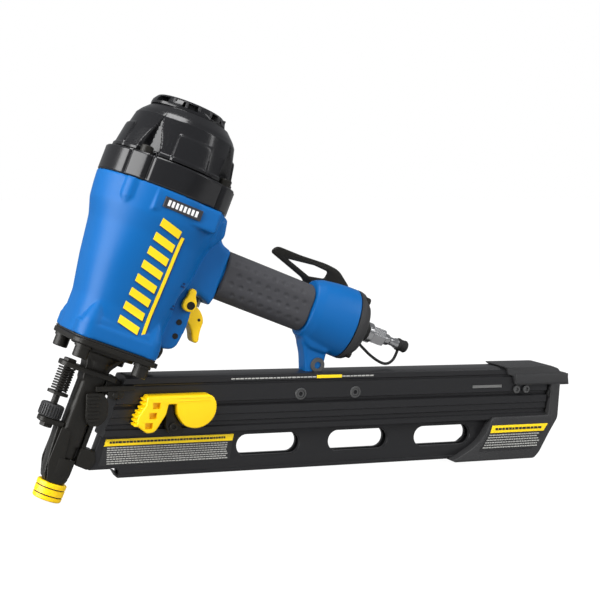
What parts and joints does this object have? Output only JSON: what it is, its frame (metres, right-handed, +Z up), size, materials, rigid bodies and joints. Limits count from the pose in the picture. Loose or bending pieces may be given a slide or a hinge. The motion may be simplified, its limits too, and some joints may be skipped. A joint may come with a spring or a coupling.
{
  "type": "pneumatic framing nailer",
  "caption": "Pneumatic framing nailer: waisted barrel, black cap, dimpled grip, long straight angled magazine, sprung nose contact and belt hook.",
  "frame": {"origin": "centre of the bounding box in plan, at the level of its lowest point, with the tool standing on its nose pad and on the rear bottom edge of the magazine", "axes": "+X along the magazine from nose to rear cap, +Z up, +Y to the side that carries the belt hook"},
  "size_m": [0.5063, 0.11, 0.3266],
  "materials": {
    "blue_paint": "satin",
    "black_paint": "gloss",
    "black_steel": "black oxide",
    "anodised": "black anodised",
    "grip_rubber": "matte",
    "yellow_plastic": "satin",
    "black_plastic": "fine texture",
    "chrome": "polished",
    "steel": "ground",
    "aluminium": "machined",
    "seal": "matte"
  },
  "bodies": {
    "tool": {"housing": "blue_paint", "cap_ring": "black_paint", "head_gasket": "seal", "cylinder_cap": "black_paint", "deflector_screw": "black_steel", "cylinder_sleeve": "aluminium", "bumper": "seal", "head_valve_spring": "steel", "base_gasket": "seal", "nose_casting": "black_steel", "spring_bracket": "black_steel", "safety_spring": "black_steel", "trigger_pin": "black_steel", "valve_bushing": "black_plastic", "grip_sleeve": "grip_rubber", "end_cap": "black_plastic", "air_plug": "chrome", "dust_cap_tether": "seal", "hook_screw": "black_steel", "foot_bolt": "black_steel", "front_bracket": "black_steel", "magazine_rail": "anodised", "magazine_blade": "anodised", "rear_cap": "black_plastic", "cap_bolt_1": "black_steel", "nose_bolt_1": "black_steel", "cap_bolt_2": "black_steel", "nose_bolt_2": "black_steel", "cap_bolt_3": "black_steel", "nose_bolt_3": "black_steel", "cap_bolt_4": "black_steel", "nose_bolt_4": "black_steel", "cheek_pin_1": "black_steel", "side_screw_1": "black_steel", "rear_screw_1": "black_steel", "cheek_pin_2": "black_steel", "side_screw_2": "black_steel", "rear_screw_2": "black_steel", "end_cap_screw_1": "black_steel", "end_cap_screw_2": "black_steel", "end_cap_screw_3": "black_steel"},
    "deflector": {"exhaust_deflector": "black_paint"},
    "piston_and_driver": {"piston": "aluminium", "driver_blade": "steel"},
    "head_valve_body": {"head_valve": "black_plastic"},
    "safety_arm": {"guide_rod": "black_steel", "spring_washer": "black_steel", "contact_arm": "black_steel", "no_mar_pad": "yellow_plastic", "safety_link": "black_steel"},
    "depth_wheel_body": {"depth_wheel": "black_plastic"},
    "trigger_body": {"trigger": "yellow_plastic"},
    "valve_stem_body": {"valve_stem": "steel"},
    "selector": {"mode_selector": "yellow_plastic"},
    "pusher": {"pusher_handle": "yellow_plastic", "pusher_bracket": "black_steel", "follower": "steel"},
    "nail_stop_body": {"nail_stop": "steel"},
    "hook": {"belt_hook": "black_steel"},
    "plug_cap": {"dust_cap": "seal"}
  },
  "joints": [
    {"name": "deflector_turn", "type": "hinge", "parent": "tool", "child": "deflector", "pos_m": [-0.12302, 0, 0.31159], "axis": [0.3689, 0, 0.9295], "continuous": true},
    {"name": "piston_stroke", "type": "slide", "parent": "tool", "child": "piston_and_driver", "axis": [-0.3689, 0, -0.9295], "range_m": [0, 0.087]},
    {"name": "head_valve_lift", "type": "slide", "parent": "tool", "child": "head_valve_body", "axis": [0.3689, 0, 0.9295], "range_m": [0, 0.004], "stiffness_N_per_m": 1500, "springref_m": -0.006, "deforming": ["head_valve_spring"]},
    {"name": "safety_travel", "type": "slide", "parent": "tool", "child": "safety_arm", "axis": [0.3689, 0, 0.9295], "range_m": [0, 0.01], "stiffness_N_per_m": 1400, "springref_m": -0.04, "deforming": ["safety_spring"]},
    {"name": "depth_wheel_turn", "type": "hinge", "parent": "safety_arm", "child": "depth_wheel_body", "pos_m": [-0.23781, 0, 0.07527], "axis": [0.3689, 0, 0.9295], "continuous": true},
    {"name": "trigger_pull", "type": "hinge", "parent": "tool", "child": "trigger_body", "pos_m": [-0.12828, 0, 0.15767], "axis": [0, -1, 0], "range_deg": [0, 12]},
    {"name": "valve_stem_lift", "type": "slide", "parent": "tool", "child": "valve_stem_body", "axis": [0.3689, 0, 0.9295], "range_m": [0, 0.0028], "stiffness_N_per_m": 100, "springref_m": -0.006},
    {"name": "selector_turn", "type": "hinge", "parent": "tool", "child": "selector", "pos_m": [-0.12828, -0.02, 0.15767], "axis": [0, -1, 0], "range_deg": [0, 110]},
    {"name": "pusher_travel", "type": "slide", "parent": "tool", "child": "pusher", "axis": [0.9993, 0, -0.0375], "range_m": [0, 0.28], "stiffness_N_per_m": 18, "springref_m": -0.6},
    {"name": "nail_stop_press", "type": "slide", "parent": "tool", "child": "nail_stop_body", "axis": [0, 1, 0], "range_m": [0, 0.0015], "stiffness_N_per_m": 800, "springref_m": -0.003},
    {"name": "hook_turn", "type": "hinge", "parent": "tool", "child": "hook", "pos_m": [0.00954, 0.036, 0.14277], "axis": [0, 1, 0], "continuous": true},
    {"name": "dust_cap_pull", "type": "slide", "parent": "tool", "child": "plug_cap", "axis": [0.9295, 0, -0.3689], "range_m": [0, 0.008]}
  ],
  "couplings": [
    {"joint": "trigger_pull", "follows": "valve_stem_lift", "rad_per_m": 74.627}
  ]
}
